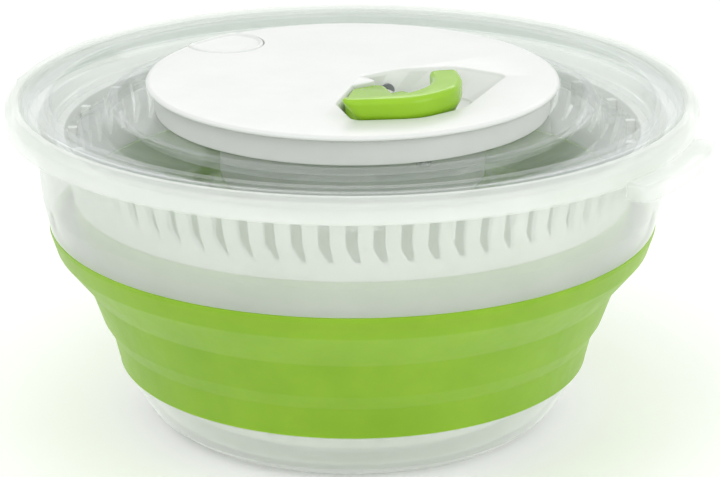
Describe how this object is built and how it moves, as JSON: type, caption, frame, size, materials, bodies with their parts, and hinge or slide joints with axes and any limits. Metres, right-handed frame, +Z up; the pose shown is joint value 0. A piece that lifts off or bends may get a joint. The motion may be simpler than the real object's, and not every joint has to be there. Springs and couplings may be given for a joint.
{
  "type": "salad spinner",
  "caption": "Folding salad spinner: silicone-walled bowl and basket, clear lid with a pull-cord drive under a white cover, hooked handle and brake button.",
  "frame": {"origin": "on the table, under the centre of the bowl", "axes": "+Z up along the spin axis; -Y towards the side where the handle lies; the ears point to -30 and 150 degrees from +X"},
  "size_m": [0.2724, 0.27, 0.1434],
  "materials": {
    "frosted_plastic": "frosted translucent polypropylene, satin",
    "green_silicone": "soft matt silicone",
    "green_rubber": "soft matt thermoplastic rubber",
    "white_basket": "smooth moulded polypropylene",
    "clear_plastic": "clear polished plastic, not glass",
    "white_abs": "white moulded plastic, soft gloss",
    "green_gloss": "polished green plastic",
    "grey_plastic": "plain moulded plastic",
    "acetal": "natural acetal, low gloss",
    "steel": "plain steel",
    "spring_steel": "spring steel",
    "cord": "braided cord",
    "black_rubber": "brake rubber"
  },
  "bodies": {
    "bowl_base": {"bowl_base": "frosted_plastic", "anti_slip_ring": "green_rubber", "pivot_pin": "steel", "bowl_wall": "green_silicone"},
    "bowl_collar": {"bowl_collar": "frosted_plastic"},
    "basket_base": {"basket_base": "white_basket", "pivot_cup": "acetal", "basket_wall": "green_silicone"},
    "basket_collar": {"basket_collar": "white_basket"},
    "lid": {"lid_shell": "clear_plastic", "mechanism_housing": "white_abs", "housing_screws": "steel", "mechanism_bridge": "grey_plastic", "bridge_screws": "steel", "reel_axle": "steel", "axle_clip": "spring_steel", "thrust_washer": "acetal", "return_spring": "spring_steel", "pulley_pin": "steel", "pulley_bracket": "grey_plastic", "cord_run": "cord", "pull_cord": "cord", "cord_eyelet": "spring_steel", "top_cover": "white_abs", "brake_spring": "spring_steel"},
    "cord_reel": {"cord_reel": "acetal", "cord_winding": "cord", "pawls": "acetal"},
    "guide_pulley": {"guide_pulley": "acetal"},
    "drive": {"drive_hub": "acetal", "drive_plate": "clear_plastic", "drive_screw": "steel"},
    "brake_button": {"brake_button": "white_abs", "brake_pad": "black_rubber"},
    "pull_handle": {"pull_handle": "green_gloss", "cord_ferrule": "steel"}
  },
  "joints": [
    {"name": "bowl_fold", "type": "slide", "parent": "bowl_base", "child": "bowl_collar", "axis": [0, 0, -1], "range_m": [0, 0.056], "deforming": ["bowl_wall"]},
    {"name": "basket_spin", "type": "hinge", "parent": "bowl_base", "child": "basket_base", "pos_m": [0, 0, 0.012], "axis": [0, 0, 1], "continuous": true},
    {"name": "basket_fold", "type": "slide", "parent": "basket_base", "child": "basket_collar", "axis": [0, 0, -1], "range_m": [0, 0.0561], "deforming": ["basket_wall"]},
    {"name": "lid_lift", "type": "slide", "parent": "bowl_collar", "child": "lid", "axis": [0, 0, 1], "range_m": [0, 0.16]},
    {"name": "drive_spin", "type": "hinge", "parent": "lid", "child": "drive", "pos_m": [0, 0, 0.096], "axis": [0, 0, 1], "continuous": true},
    {"name": "cord_pull", "type": "slide", "parent": "lid", "child": "pull_handle", "axis": [0.227, -0.4455, 0.866], "range_m": [0, 0.45], "stiffness_N_per_m": 6, "springref_m": -0.15, "deforming": ["pull_cord"]},
    {"name": "reel_spin", "type": "hinge", "parent": "lid", "child": "cord_reel", "pos_m": [0, 0, 0.11], "axis": [0, 0, 1], "range_deg": [-0.5, 1897.8]},
    {"name": "pulley_spin", "type": "hinge", "parent": "lid", "child": "guide_pulley", "pos_m": [-0.00332, 0.03647, 0.11925], "axis": [0.891, 0.454, 0], "range_deg": [-0.5, 2789.4]},
    {"name": "brake_press", "type": "slide", "parent": "lid", "child": "brake_button", "axis": [0, 0, -1], "range_m": [0, 0.003], "stiffness_N_per_m": 800, "springref_m": -0.001, "deforming": ["brake_spring"]}
  ],
  "couplings": [
    {"joint": "basket_fold", "follows": "bowl_fold", "ratio": 1},
    {"joint": "drive_spin", "follows": "basket_spin", "ratio": 1},
    {"joint": "reel_spin", "follows": "cord_pull", "rad_per_m": 73.529},
    {"joint": "pulley_spin", "follows": "cord_pull", "rad_per_m": 108.11}
  ]
}
